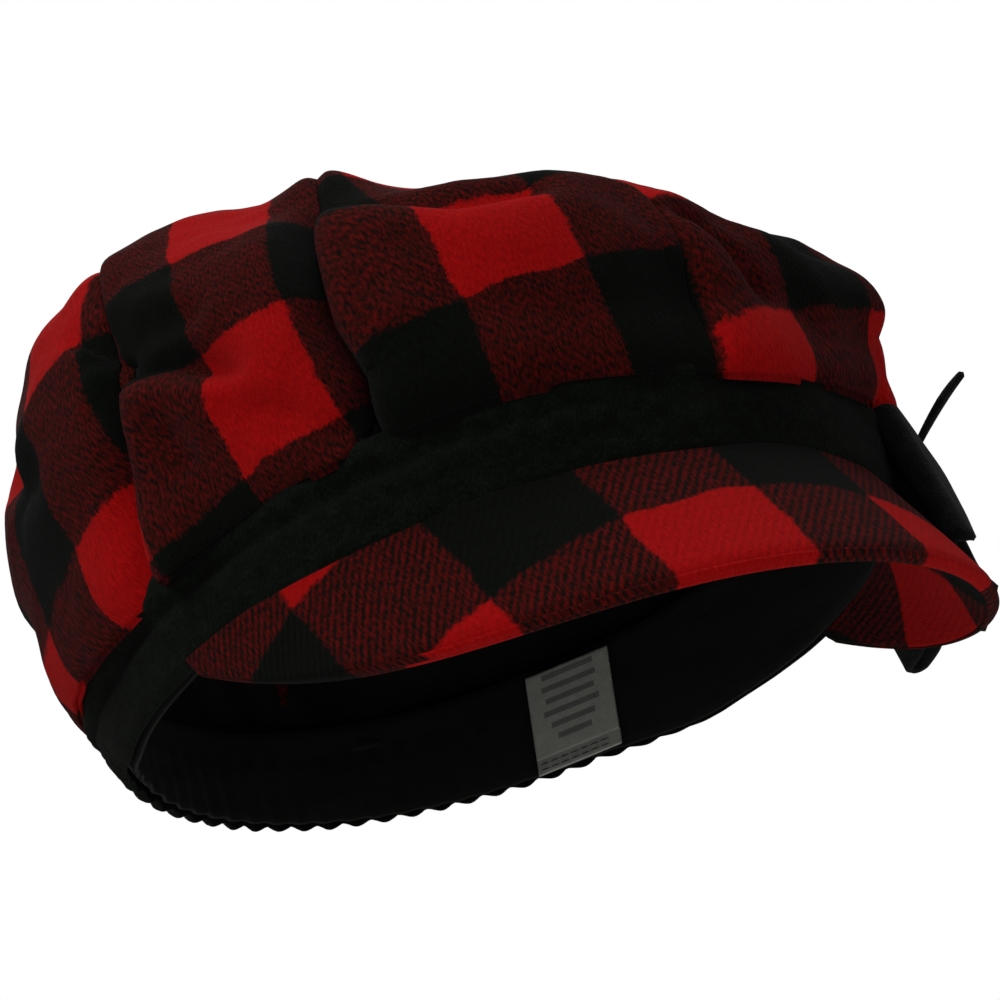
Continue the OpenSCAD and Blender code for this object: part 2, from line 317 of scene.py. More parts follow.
def plaid(name, rib_contrast, nap):
    """Buffalo check twill: red where both threads are red, ribbed where they cross, and brushed."""
    s = Shade(name, Roughness=1.0, Sheen_Weight=0.02, Sheen_Roughness=0.5, Specular_IOR_Level=0.045)
    x, y = s.split(s.cut)
    wander_x, wander_y = s.split(s.noise(0.11, 1.0, colour=True))
    fray_x, fray_y = s.split(s.noise(1.1, 2.0, colour=True))

    def thread(value, wander, fray):
        """1 where this direction's threads are red, 0 where they're black."""
        value = s.sway(wander, EDGE_WANDER, value)
        value = s.sway(fray, EDGE_FRAY * nap, value)
        half = CHECK / 2
        return s.ramp(s.calc("PINGPONG", value, CHECK), half - EDGE_BLUR, half + EDGE_BLUR)

    warp, weft = thread(x, wander_x, fray_x), thread(y, wander_y, fray_y)
    both = s.calc("MULTIPLY", warp, weft)
    either = s.calc("SUBTRACT", s.calc("ADD", warp, weft), s.calc("MULTIPLY", both, 2.0))
    slant = s.calc("ADD", x, y)
    wobble = s.calc("MULTIPLY", s.noise(0.7, 2.0), 2.2)
    rib_rate = 2 * math.pi / RIB_PITCH / math.sqrt(2)
    rib = s.calc("SINE", s.calc("ADD", s.calc("MULTIPLY", slant, rib_rate), wobble))
    strokes = s.noise(1.6, 3.0, stretch=(1.0, 0.42, 1), turn=0.5)
    specks = s.noise(3.6, 2.0)
    patches = s.noise(0.16, 2.0)
    # how much red shows where red threads cross black ones
    lean = s.calc("MULTIPLY_ADD", rib, 0.11 * rib_contrast, 0.115)
    lean = s.sway(patches, 0.10, s.sway(strokes, 0.62, lean))
    lean = s.calc("MAXIMUM", lean, 0.015)
    red = s.calc("ADD", both, s.calc("MULTIPLY", either, lean))
    tone = s.sway(specks, 0.7, s.sway(strokes, 1.1 * nap, 0.94))
    tone = s.calc("MAXIMUM", tone, 0.25)
    bright = s.add("ShaderNodeVectorMath", {0: s.mix(red, BLACK, RED)}, operation="SCALE")
    s.put(bright.inputs["Scale"], tone)
    pile = s.calc("ADD", strokes, s.calc("MULTIPLY", specks, 0.7))
    height = s.calc("MULTIPLY_ADD", rib, 0.16 * rib_contrast, pile)
    return s.finish(bright.outputs[0], height, 0.0006)


def felt(name, base, sheen=0.02):
    """Matt felted wool: short hairs in clumps."""
    s = Shade(name, Roughness=0.97, Sheen_Weight=sheen, Sheen_Roughness=0.55, Specular_IOR_Level=0.03)
    hair, clumps = s.noise(2.2, 3.0, stretch=(1, 0.5, 1)), s.noise(0.25, 2.0)
    colour = s.mix(s.ramp(s.sway(clumps, 0.6, hair), 0.3, 0.95), base, times(base, 3.0))
    return s.finish(colour, s.calc("ADD", hair, s.noise(0.7, 2.0)), 0.0005)


def satin(name, base, rough=0.42):
    """Smooth woven lining: fine threads both ways."""
    s = Shade(name, Roughness=rough, Sheen_Weight=0.01, Specular_IOR_Level=0.12)
    slubs = s.noise(0.5, 3.0, stretch=(0.25, 2, 1))
    relief = s.calc("MULTIPLY_ADD", s.woven(14.0, 14.0), 0.3, slubs)
    return s.finish(s.mix(slubs, base, times(base, 1.8)), relief, 0.0002)


def threads(name, base, pitch=0.5):
    """Twisted thread or ribbed tape."""
    s = Shade(name, Roughness=0.7, Sheen_Weight=0.1)
    x, y = s.split(s.cut)
    twist = s.calc("SINE", s.calc("MULTIPLY", s.calc("ADD", x, y), 2 * math.pi / pitch))
    colour = s.mix(s.ramp(twist, -1, 1), times(base, 0.6), base)
    return s.finish(colour, twist, 0.0001)


# Rows of print on the label: their pitch, the middle of the block up the tape and its half height
PRINT_PITCH, PRINT_MIDDLE, PRINT_HALF = 3.1, 31.0, 9.0


def label_cloth(name, printed):
    """Satin label tape in a dim grey that is painted shade: its pale colour is darkened for the shade
    inside the cap; printed adds plain unreadable bars in rows, with no letters.
    """
    s = Shade(name, Roughness=0.6)
    x, y = s.split(s.cut)
    weave = s.woven(11.0, 9.0)
    # painted shade: the pale tape is coloured a dim grey, far darker than its own colour, for the shade
    # inside the cap
    base = s.mix(s.noise(0.3, 3.0), (0.24, 0.25, 0.22, 1), (0.36, 0.37, 0.33, 1))
    if printed:
        row = s.calc("FLOOR", s.calc("DIVIDE", y, PRINT_PITCH))
        inside = s.calc("SUBTRACT", y, s.calc("MULTIPLY", row, PRINT_PITCH))
        bars = s.ramp(s.calc("PINGPONG", inside, PRINT_PITCH / 2), 0.72, 0.95)
        pick = s.add("ShaderNodeTexWhiteNoise", {"W": row}, noise_dimensions="1D").outputs[0]
        reach = s.calc("MULTIPLY_ADD", pick, 5.0, 4.0)
        bars = s.calc("MULTIPLY", bars, s.calc("LESS_THAN", s.calc("ABSOLUTE", x), reach))
        off_middle = s.calc("ABSOLUTE", s.calc("SUBTRACT", y, PRINT_MIDDLE))
        bars = s.calc("MULTIPLY", bars, s.calc("LESS_THAN", off_middle, PRINT_HALF))
        base = s.mix(s.calc("MULTIPLY", bars, 0.72), base, (0.06, 0.065, 0.07, 1))
    return s.finish(base, weave, 0.0001)


PLAID = plaid("crown_plaid", 0.25, 1.0)
BRIM_PLAID = plaid("brim_plaid", 0.75, 0.7)
FELT = felt("black_felt", (0.0034, 0.0046, 0.0032, 1))
FELT_EDGE = felt("bow_felt", (0.0042, 0.0050, 0.0044, 1), 0.05)
LINING = satin("black_lining", (0.0030, 0.0036, 0.0030, 1))
FACING = satin("sweatband_cotton", (0.0036, 0.0050, 0.0036, 1), 0.7)
BOARD = satin("brim_board_fibre", (0.62, 0.6, 0.55, 1), 0.7)
STIFFENER = felt("interlining_fibre", (0.03, 0.03, 0.032, 1))
ELASTIC = threads("elastic_tape", (0.02, 0.02, 0.022, 1), 0.9)
THREAD = threads("black_thread", (0.02, 0.02, 0.022, 1), 0.4)
DARK_THREAD = threads("label_thread", (0.03, 0.032, 0.04, 1), 0.4)
# both label materials carry the tape's painted shade: a dim grey in place of its pale colour
LABEL = label_cloth("label_tape", True)
LABEL_PLAIN = label_cloth("label_tape_plain", False)


# ---------- crown


def crown_share(v):
    """The crown's girth at height share v, as a share of its widest."""
    high = np.cos(np.radians(90 * np.clip((v - LOWER_SHARE) / (1 - LOWER_SHARE), 0, 1)))
    low = 1 - CROWN_OVERHANG / OPENING_HALF_WIDTH * (1 - np.clip(v, 0, LOWER_SHARE) / LOWER_SHARE) ** 2
    return np.where(v < LOWER_SHARE, low, np.maximum(high, 0) ** SHOULDER_POWER)


def crown_rise(v):
    """The crown's height in mm at height share v, before it leans."""
    turn = np.sin(np.radians(90 * np.clip((v - LOWER_SHARE) / (1 - LOWER_SHARE), 0, 1)))
    low = CROWN_FOOT + (CROWN_WAIST - CROWN_FOOT) * np.clip(v, 0, LOWER_SHARE) / LOWER_SHARE
    high = CROWN_WAIST + (CROWN_HEIGHT - CROWN_WAIST) * turn ** DOME_POWER
    return np.where(v < LOWER_SHARE, low, high)


def band_face(z):
    """How far the band's face stands off the opening at height z."""
    return BAND_OUTER + BAND_FLARE * z / BAND_HEIGHT


def crown_point(t, v, depth=0.0, puff=0.0):
    """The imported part's crown surface: t in degrees, v from the band (0) to the peak (1)."""
    a = np.radians(t)
    grow = band_face(BAND_HEIGHT) + CROWN_OVERHANG + puff * np.sin(np.pi * np.clip(v, 0, 1)) - depth
    share, rise = crown_share(v), crown_rise(v)
    x = (OPENING_HALF_WIDTH + grow) * share * np.sin(a)
    y = -(OPENING_HALF_LENGTH + grow) * share * np.cos(a)
    top = np.maximum(0, (rise - CROWN_FOOT) / (CROWN_HEIGHT - CROWN_FOOT))
    low_side = x * math.sin(LEAN_ANGLE) - y * math.cos(LEAN_ANGLE)
    return spots(x, y, rise - depth * top - CROWN_LEAN * low_side * top)


# Round the crown's widest line, and from the band up to the peak
MM_PER_DEGREE, MERIDIAN = 1.72, 165.0


def near_path(t, v, path):
    """Where points lie beside a line of (t, v) on the crown.

    Gives their distance in mm, their side, their place along it and its normal."""
    spread = MM_PER_DEGREE * np.maximum(crown_share(v), 0.2)
    best = np.full(t.shape, 1e9)
    side, place = np.zeros(t.shape), np.zeros(t.shape)
    normal = np.zeros(t.shape + (2,))
    for k, ((t0, v0), (t1, v1)) in enumerate(zip(path, path[1:])):
        ax, ay = turned_by(t, t0) * spread, (v - v0) * MERIDIAN
        bx, by = (t1 - t0) * spread, (v1 - v0) * MERIDIAN
        share = np.clip((ax * bx + ay * by) / (bx * bx + by * by), 0, 1)
        dx, dy = ax - share * bx, ay - share * by
        gap = np.hypot(dx, dy)
        nearer = gap < best
        best = np.where(nearer, gap, best)
        side = np.where(nearer, np.sign(by * dx - bx * dy), side)
        place = np.where(nearer, (k + share) / (len(path) - 1), place)
        by = np.full(t.shape, by)
        right_hand = np.stack([by, -bx], axis=-1) / np.hypot(bx, by)[..., None]
        normal = np.where(nearer[..., None], right_hand, normal)
    return best, side, place, normal


# Folds: the (t, v) line, its depth and half width in mm, then the pillow on its right-hand side
# (height and half width, mm) and how far that pillow rolls over the line, in mm
FOLDS = (
    # deep fold between the two front right panels, the front one rolling over it
    ([(-45.5, -0.02), (-44, 0.12), (-46, 0.26), (-45.5, 0.42), (-44, 0.60)], 7.5, 4.0, 5.0, 17, 4.5),
    # fold where the right front panel rolls over its neighbour
    ([(-82, -0.02), (-80, 0.12), (-77, 0.26), (-77.5, 0.38)], 7.5, 4.0, 4.0, 13, 4.0),
    # pinch running in from that fold, over the pillow below it
    ([(-80, 0.38), (-72, 0.295), (-66, 0.265), (-58, 0.20)], 5.5, 4.0, 3.0, 14, 2.5),
    ([(-80, 0.44), (-70, 0.37), (-60, 0.34)], 3.0, 6.0, 0, 1, 0),
    ([(-71, 0.20), (-70, 0.10)], 2.5, 4.0, 0, 1, 0),
    # crease from the main fold down to a small tip at the band
    ([(-60, 0.16), (-54, 0.09), (-49, 0.02)], 3.0, 4.5, 0, 1, 0),
    # soft fold at the front seam
    ([(-4, -0.02), (-2, 0.14), (-4, 0.32), (-6, 0.50)], 3.2, 6.0, 1.5, 16, 0.8),
    # dip behind the front pillow
    ([(-41, 0.52), (-27, 0.44), (-12, 0.46)], 5.5, 8.0, 0, 1, 0),
    # fold on the front left, where one lobe drops behind another
    ([(12, 0.16), (9, 0.27), (1, 0.42)], 5.0, 4.5, 0, 1, 0),
    ([(20, 0.10), (14, 0.28), (6, 0.44)], 3.0, 7.0, 0, 1, 0),
    ([(46, -0.02), (45, 0.20), (45, 0.42)], 4.0, 5.0, 2.0, 14, 1.5),
    ([(90, -0.02), (92, 0.22), (90, 0.45)], 5.5, 4.5, 3.0, 15, 3.0),
    ([(135, -0.02), (137, 0.25), (135, 0.50)], 5.0, 5.0, 2.5, 16, 2.0),
    ([(179, -0.02), (177, 0.25), (180, 0.45)], 5.5, 4.5, 3.0, 15, 3.0),
    ([(224, -0.02), (227, 0.22), (225, 0.42)], 5.5, 5.0, 3.0, 16, 2.5),
    ([(106, 0.34), (118, 0.26), (128, 0.27)], 4.0, 5.5, 1.5, 14, 1.0),
    ([(200, 0.36), (212, 0.26), (221, 0.27)], 4.0, 5.5, 1.5, 14, 1.0),
    ([(244, 0.40), (254, 0.30), (266, 0.30)], 4.0, 6.0, 0, 1, 0),
    ([(60, 0.33), (72, 0.25), (83, 0.30)], 4.0, 5.5, 1.5, 13, 1.0),
    ([(150, 0.40), (160, 0.33), (172, 0.36)], 3.5, 6.0, 0, 1, 0),
)
# Broad swells and hollows of the slack crown: (t, v), height in mm and half width in mm
LOBES = (
    (-86, 0.62, 6.5, 17), (-110, 0.42, -4.5, 22), (-44, 0.68, 5.5, 10), (-22, 0.62, -3.5, 17),
    (19, 0.50, -7.5, 17), (40, 0.25, 4.5, 13), (-131, 0.13, -3.5, 14), (1, 0.55, -2.0, 11),
    (-72, 0.71, 4.0, 14), (-99, 0.57, 2.0, 11), (27, 0.37, -5.5, 12),
    (95, 0.45, -4.0, 20), (150, 0.55, -4.0, 22), (200, 0.45, 3.5, 22), (70, 0.60, -3.0, 18),
    (-62, 0.17, 2.5, 12),
)
# Where the crown drops over the band's top: middle and half width in degrees, drop in mm
SLUMPS = ((3, 24, 6.0), (27, 16, 2.6), (-94, 30, 7.4), (-46, 14, 1.5), (120, 40, 4.0))


def seam_shift(t, v):
    """Degrees that the cloth is pulled round: the right seam sits forward of its pattern."""
    return 10.0 * bump(turned_by(t, -90), 0, 24) * (1 - smooth(v, 0.45, 0.8))


def crown_surface(t, v):
    """The crown as it slumps: pillows between the seams, folds, pinches and small waves, in mm."""
    turned = t + seam_shift(t, v)
    across = 2 * ((t / PANEL_ANGLE) % 1) - 1
    pillow = 4.0 * (1 - np.abs(across) ** 2.6)
    base = crown_point(turned, v, 0.0, pillow)
    smooth_base = crown_point(turned, v, 0.0, 2.0)
    out = normals(smooth_base)
    out *= np.sign(np.sum(out * (smooth_base - [0.0, 0.0, 45.0]), axis=-1, keepdims=True))
    around = unit(np.gradient(smooth_base, axis=1))
    upward = unit(np.gradient(smooth_base, axis=0))
    lift, push = np.zeros(t.shape), np.zeros(t.shape + (2,))
    for path, depth, width, rise, broad, over in FOLDS:
        gap, side, place, normal = near_path(turned, v, path)
        ends = smooth(place, -0.25, 0.18) * (1 - smooth(place, 0.78, 1.02))
        near = np.exp(-((gap / width) ** 2))
        pillow_side = side > 0
        behind = np.exp(-((gap / (1.7 * width)) ** 2))
        lift -= depth * ends * np.where(pillow_side | (rise == 0), near, behind)
        lift += rise * ends * (1 - near) * np.exp(-((gap / broad) ** 2)) * pillow_side
        roll = np.where(pillow_side, np.exp(-(((gap - width) / (1.3 * width)) ** 2)),
                        math.exp(-1 / 1.69) * np.exp(-gap * 1.5 / width))
        push -= normal * (over * ends * roll)[..., None]
    spread = MM_PER_DEGREE * np.maximum(crown_share(v), 0.2)
    for t0, v0, height, width in LOBES:
        gap = np.hypot(turned_by(turned, t0) * spread, (v - v0) * MERIDIAN)
        lift += height * np.exp(-((gap / width) ** 2))
    seam_mm = np.abs(np.abs(across) - 1) * PANEL_ANGLE / 2 * MM_PER_DEGREE * np.maximum(crown_share(v), 0.1)
    fade = smooth(1 - v, 0.02, 0.2)
    lift -= 1.5 * np.exp(-((seam_mm / 1.8) ** 1.5)) * smooth(1 - v, 0.0, 0.12)
    lift += 1.4 * fade * ripple(smooth_base, 5, 62) + 0.6 * fade * ripple(smooth_base, 9, 24)
    lift += 0.16 * ripple(smooth_base, 12, 9) * fade
    # gathers that run up from the band, and the swell above them
    lift += 1.0 * np.exp(-np.maximum(v, 0) / 0.06) * ripple(oval(turned, 0.0, 0.0), 21, 13)
    lift += 1.6 * np.exp(-(((v - 0.06) / 0.06) ** 2))
    point = base + out * lift[..., None] + around * push[..., :1] + upward * push[..., 1:]
    slump = sum(drop * bump(turned_by(turned, middle), 0, width) for middle, width, drop in SLUMPS)
    hang = np.exp(-((np.maximum(v - 0.01, 0) / 0.085) ** 2))
    point[..., 2] -= slump * hang
    point += out * (slump * 0.42 * hang)[..., None] * np.array([1, 1, 0])
    return point


# Rows of a panel behind the band: height, how far off the opening, and cloth above them, in mm
TUCKED_ROWS = ((17.5, 4.2, 7.0), (20.5, 4.8, 4.0), (23.0, 6.3, 2.2), (23.6, 7.6, 1.0))


def crown_grid(order, across_count=61, up_count=110):
    """One panel's outer surface, with hidden rows behind the band, and its cloth coordinates."""
    step = np.linspace(-1, 1, across_count)
    u = step * (1.3 - 0.3 * step ** 2)
    rows = np.linspace(0, 1, up_count) ** 1.05 * PANEL_END
    middle = order * PANEL_ANGLE + PANEL_ANGLE / 2
    gap = 0.12 / (OPENING_HALF_WIDTH * crown_share(rows)) * 180 / np.pi
    t = middle + u[None, :] * (PANEL_ANGLE / 2 - gap[:, None])
    v = np.repeat(rows[:, None], across_count, axis=1)
    outer = crown_surface(t, v)
    # the cloth's own coordinates, from the shape without its small folds
    plain = crown_point(t + seam_shift(t, v), v, 0.0, 3.0)
    centre = across_count // 2
    s = np.array([length_along(row) for row in plain])
    s -= s[:, centre:centre + 1]
    m = np.repeat(length_along(plain[:, centre])[:, None], across_count, axis=1)
    # rows that go down behind the band's top edge
    foot = t[0] + seam_shift(t[0], v[0])
    outer = np.concatenate([[oval(foot, grow, z) for z, grow, _ in TUCKED_ROWS], outer])
    m = np.concatenate([[m[0] - back for _, _, back in TUCKED_ROWS], m])
    return outer, np.concatenate([np.repeat(s[:1], len(TUCKED_ROWS), axis=0), s]), m


def inward(grid, thickness):
    """The grid moved towards the inside by the cloth's thickness."""
    n = normals(grid)
    sign = np.sign(np.sum(n * (grid - [0.0, 0.0, 40.0]), axis=-1, keepdims=True))
    return grid - n * np.where(sign == 0, 1, sign) * thickness


# How each panel was laid on the checked cloth: mm along each stripe, its turn in degrees and
# the pull of the cloth each way
LAID = {
    "front_left": (-7.6, 30.6, -9.9, 1.04, 0.965), "left_front": (13.0, 20.0, 6.0, 1.0, 1.0),
    "left_back": (30.0, 8.0, -4.0, 1.0, 1.0), "back_left": (8.0, 33.0, 3.0, 1.0, 1.0),
    "back_right": (22.0, 14.0, -5.0, 1.0, 1.0), "right_back": (-21.3, 36.1, -12.5, 1.14, 0.73),
    "right_front": (13.8, 8.3, -5.4, 1.165, 1.01), "front_right": (27.3, 50.3, -8.5, 1.01, 1.04),
}


def cloth(s, m, laid):
    """Coordinates on the checked cloth of points s mm across and m mm up a pattern piece."""
    turn = math.radians(laid[2])
    x = (s * math.cos(turn) - m * math.sin(turn)) * laid[3] + laid[0]
    y = (s * math.sin(turn) + m * math.cos(turn)) * laid[4] + laid[1]
    return spots(x, y)


CLOTH_THICK = 1.5
panels = {}
for order, name in enumerate(PANELS):
    outer, s, m = crown_grid(order)
    inner = inward(outer, CLOTH_THICK)
    panels[name] = shell("plaid_panel_" + name, outer, inner, PLAID, cloth(s, m, LAID[name]))
    stand_in(panels[name], "crown_panel_" + name)


# ---------- the band and the inside


def ring_grid(sections, count, wave=None):
    """Rings of points: each section is (grow, z), and wave(t, z) gives an extra (grow, z)."""
    t = np.arange(count) * 360.0 / count
    rows = []
    for grow, z in sections:
        extra = wave(t, z) if wave else (0.0, 0.0)
        rows.append(oval(t, grow + extra[0], z + extra[1] + np.zeros(count)))
    grid = np.array(rows)
    around = np.radians(t) * (OPENING_HALF_WIDTH + OPENING_HALF_LENGTH) / 2
    z = np.array([z for _, z in sections])
    return grid, spots(around[None, :], z[:, None])


# The band is creased lengthwise and gathered behind
CREASE_HEIGHT = 14.0


def back_share(t):
    """1 over the elasticated back, 0 elsewhere."""
    fade, full = math.cos(math.radians(70)), math.cos(math.radians(45))
    return smooth(np.cos(np.radians(t - 180)), fade, full)


# The elastic lifts the back hem and puckers it
HEM_LIFT, PUCKERS = 5.1, 76


def pucker(t):
    """Phase of the elastic's puckers round the cap, in radians."""
    return np.radians(t) * PUCKERS + 1.5 * ripple(oval(t, 0.0, 0.0), 31, 45)


def hem_rise(t, z):
    """How far the back of the band and what lies inside it are lifted, in mm."""
    most = HEM_LIFT * (1 - 0.45 * np.sin(np.radians(t)))
    return most * back_share(t) * np.clip(1 - z / BAND_HEIGHT, 0, 1)


def band_wave(t, z):
    """How far the band's face waves in and out, and up and down, in mm."""
    low = np.exp(-z / 8.0) * back_share(t)
    here = oval(t, 0.0, 3.0 * z)
    gather = 0.7 * low * np.sin(pucker(t))
    hem = 0.9 * low * (0.6 - np.abs(np.sin(pucker(t) / 2 + 0.4)))
    soft = 0.45 * ripple(here, 33, 40) + 0.2 * ripple(here, 35, 15)
    rise = 0.5 * ripple(oval(t, 0.0, 0.0), 37, 60) * z / BAND_HEIGHT
    return gather + soft, hem * (z < 9) + rise + hem_rise(t, z)


def crease(t, z):
    """Depth of the band's lengthwise fold, sharpest on the wearer's right."""
    line = CREASE_HEIGHT + 2.2 * np.sin(np.radians(t + 70))
    strength = 0.25 + 0.75 * bump(turned_by(t, -90), 0, 70)
    lips = 0.9 * bump(z, line + 3.2, 2.2) + 0.6 * bump(z, line - 4, 3.5)
    return strength * (1.7 * bump(z, line, 1.6) - lips)


t_band = np.arange(720) * 0.5
outer_rows, inner_rows, cuts = [], [], []
for z in np.linspace(0, BAND_HEIGHT, 21):
    roll = 1.2 * (bump(z, 0, 1.1) + bump(z, BAND_HEIGHT, 1.1))
    extra, lift = band_wave(t_band, z)
    grow = band_face(z) + 0.5 - roll - crease(t_band, z) + extra
    height = z + lift
    outer_rows.append(oval(t_band, grow, height))
    inner_rows.append(oval(t_band, np.maximum(grow - BAND_FELT + roll, 2.3), height))
    cuts.append(spots(np.radians(t_band) * 95, height))
band = shell("felt_band", np.array(outer_rows), np.array(inner_rows), FELT, np.array(cuts), wrap=True)
stand_in(band, "outer_band")


def facing_wave(t, z):
    """The same for the sweatband, which only ever stands in from its packed face."""
    here = oval(t, 0.0, 2.5 * z)
    puckers = -0.5 * back_share(t) * (1 + np.sin(pucker(t))) * (z < 20)
    slack = 0.35 * (1 + ripple(here, 41, 30)) * (z > 3)
    return puckers - slack, 0.25 * ripple(here, 43, 40) + hem_rise(t, z)


sweat_z = np.linspace(0, 30, 12)
sweat_in, sweat_cut = ring_grid([(0.05, z) for z in sweat_z], 480, facing_wave)
sweat_out, _ = ring_grid([(1.0, z) for z in sweat_z], 480, facing_wave)
sweat = shell("sweatband_facing", sweat_out, sweat_in, FACING, sweat_cut, wrap=True)
stand_in(sweat, "sweatband")

STIFF_NEAR, STIFF_FAR = 1.25, 1.9
stiff_z = np.linspace(13, 21, 4)
stiff_out, stiff_cut = ring_grid([(STIFF_FAR, z) for z in stiff_z], 240)
stiff_in, _ = ring_grid([(STIFF_NEAR, z) for z in stiff_z], 240)
stiffener = shell("band_stiffener", stiff_out, stiff_in, STIFFENER, stiff_cut, wrap=True)
stand_in(stiffener, "band_interlining")

# The elastic tape round the back, with its small pleats
TAPE_NEAR, TAPE_FAR, TAPE_RADIUS, PLEAT_PITCH = 1.35, 1.85, 90.0, 3.0
t_tape = np.linspace(125, 235, 160)
tape_round = np.radians(t_tape) * TAPE_RADIUS
pleat = 0.12 * np.sin(tape_round * 2 * np.pi / PLEAT_PITCH)
tape_out, tape_in, tape_cut = [], [], []
for z in np.linspace(3, 11, 5):
    height = z + hem_rise(t_tape, z)
    tape_out.append(oval(t_tape, TAPE_FAR + pleat, height))
    tape_in.append(oval(t_tape, TAPE_NEAR + pleat, height))
    tape_cut.append(spots(tape_round, z))
tape = shell("elastic_tape", np.array(tape_out), np.array(tape_in), ELASTIC, np.array(tape_cut))
stand_in(tape, "back_elastic")

# The lining: eight slack gores inside the plaid, with a seam between each
LINING_INSET, LINING_THICK, LINING_ROWS, LINING_STEPS = 4.2, 0.5, 60, 320
LINING_FOOT, LINING_SEAM = 26.0, 1.6
t_line = np.arange(LINING_STEPS) * 360.0 / LINING_STEPS
v_line = np.linspace(0.0, 0.995, LINING_ROWS)
tt, vv = np.meshgrid(t_line, v_line)
slack_at = crown_point(tt, vv, LINING_INSET, 0.0)
slack = 1.8 * (1 + ripple(slack_at, 51, 40)) + 0.6 * (1 + ripple(slack_at, 52, 15))
from_seam = np.abs(((tt / PANEL_ANGLE + 0.5) % 1) - 0.5) * PANEL_ANGLE * MM_PER_DEGREE
seams = 1.4 * np.exp(-((from_seam / LINING_SEAM) ** 2))
lining_out = crown_point(tt, vv, LINING_INSET + slack + seams, 0.0)
lining_in = crown_point(tt, vv, LINING_INSET + slack + seams + LINING_THICK, 0.0)
lining_out = np.concatenate([oval(t_line, 2.4, LINING_FOOT)[None], lining_out])
lining_in = np.concatenate([oval(t_line, 2.4 - LINING_THICK, LINING_FOOT)[None], lining_in])
lining_cut = spots(tt * 1.6, vv * MERIDIAN)
lining_cut = np.concatenate([lining_cut[:1], lining_cut])
lining = shell("satin_lining", lining_out, lining_in, LINING, lining_cut, wrap=True)
stand_in(lining, "crown_lining")


# ---------- the brim


def brim_run(t):
    """The brim's length in mm down its slope at angle t, with its bow side reaching further."""
    reach = np.where(t > 0, BRIM_REACH_BOW, BRIM_REACH) + 2
    return BRIM_DEPTH * (1 - (np.abs(t) / reach) ** np.where(t > 0, BRIM_TAPER_BOW, BRIM_TAPER))


def brim_point(t, reach, lift):
    """A point on the brim: reach is mm down its slope, lift is mm off its middle."""
    run = np.array([0.0, -math.cos(BRIM_SLOPE), -math.sin(BRIM_SLOPE)])
    seat, side = oval(t, BRIM_GROW, 0.0), oval(t + 90, BRIM_GROW, 0.0)
    normal = unit(np.cross(side, run))
    return seat + np.asarray(reach)[..., None] * run - np.asarray(lift)[..., None] * normal


BRIM_ACROSS, BRIM_DOWN = 181, 30
t_brim = np.linspace(-BRIM_REACH, BRIM_REACH_BOW, BRIM_ACROSS)
run_len = np.maximum(1.5, brim_run(t_brim))
BRIM_TUCK = 2.4
# The brim's cloth laid flat: along its slope, and round the bend square to it
brim_seat = oval(t_brim, BRIM_GROW, 0.0)
square_on = brim_seat * np.array([1.0, math.sin(BRIM_SLOPE), 0.0])
brim_round = length_along(square_on)
brim_round -= np.interp(0.0, t_brim, brim_round)
brim_fall = -brim_seat[:, 1] * math.cos(BRIM_SLOPE)
BRIM_LAID = {"top": (48.3, 23.0, -1.2, 0.93, 0.735), "under": (61.3, 12.3, -15.6, 0.81, 0.81)}
# The lifts of each cover's two faces off the board's middle
COVER_NEAR, COVER_FAR = 0.8, 2.1


def brim_sheet(near, far, name, laid):
    """One cover from behind the band's hem to the turned edge; near and far are its two lifts."""
    share = np.linspace(0, 1, BRIM_DOWN) ** 0.9
    t = np.repeat(t_brim[None, :], BRIM_DOWN, axis=0)
    reach = -BRIM_TUCK + share[:, None] * (run_len[None, :] + BRIM_TUCK)
    edge = np.clip((run_len[None, :] - reach) / 2.2, 0, 1)
    swell = 0.35 * np.sin(np.pi * share)[:, None]
    swell = swell + 0.3 * ripple(brim_point(t, reach, 0 * t), 61, 34) * (edge > 0.9)
    lift_far = near + (far - near) * (0.35 + 0.65 * np.sqrt(edge)) + np.sign(far) * swell * edge
    outer = brim_point(t, reach, lift_far)
    inner = brim_point(t, reach, np.full(t.shape, near))
    cut = cloth(brim_round[None, :] + 0 * reach, brim_fall[None, :] + reach, laid)
    return shell(name, outer, inner, BRIM_PLAID, cut)


def brim_ride(piece):
    """Bakes the brim piece's placement into its mesh."""
    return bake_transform(piece)


top_cover = brim_sheet(COVER_NEAR, COVER_FAR, "brim_plaid_top", BRIM_LAID["top"])
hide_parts("brim_top_cover")
under_cover = brim_sheet(-COVER_NEAR, -COVER_FAR, "brim_plaid_under", BRIM_LAID["under"])
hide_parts("brim_under_cover")

# the turned edge: a thin roll round the brim's rim
EDGE_DEEP, EDGE_TALL, EDGE_BACK, EDGE_HOLLOW, EDGE_STEP = 0.9, 1.75, 0.2, 0.25, 0.4
turns = np.linspace(0, 2 * np.pi, 13)[:-1]
roll_rows, edge_cut = [], []
for a in turns:
    out, lift = EDGE_DEEP * math.cos(a), EDGE_TALL * math.sin(a)
    roll_rows.append(brim_point(t_brim, run_len - EDGE_BACK + out, lift + 0 * t_brim))
roll_rows = np.array(roll_rows + [roll_rows[0]])
for k in range(len(roll_rows)):
    edge_cut.append(cloth(brim_round, run_len + k * EDGE_STEP + brim_fall, BRIM_LAID["top"]))
core = brim_point(t_brim, run_len - EDGE_BACK, 0 * t_brim)[None]
roll_inside = core + (roll_rows - core) * EDGE_HOLLOW
edge_roll = shell("brim_turned_edge", roll_rows, roll_inside, BRIM_PLAID, np.array(edge_cut))
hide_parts("brim_edge_seam")
for piece in (top_cover, under_cover, edge_roll):
    brim_ride(piece)
repaint("brim_board", BOARD)

# ---------- the bow

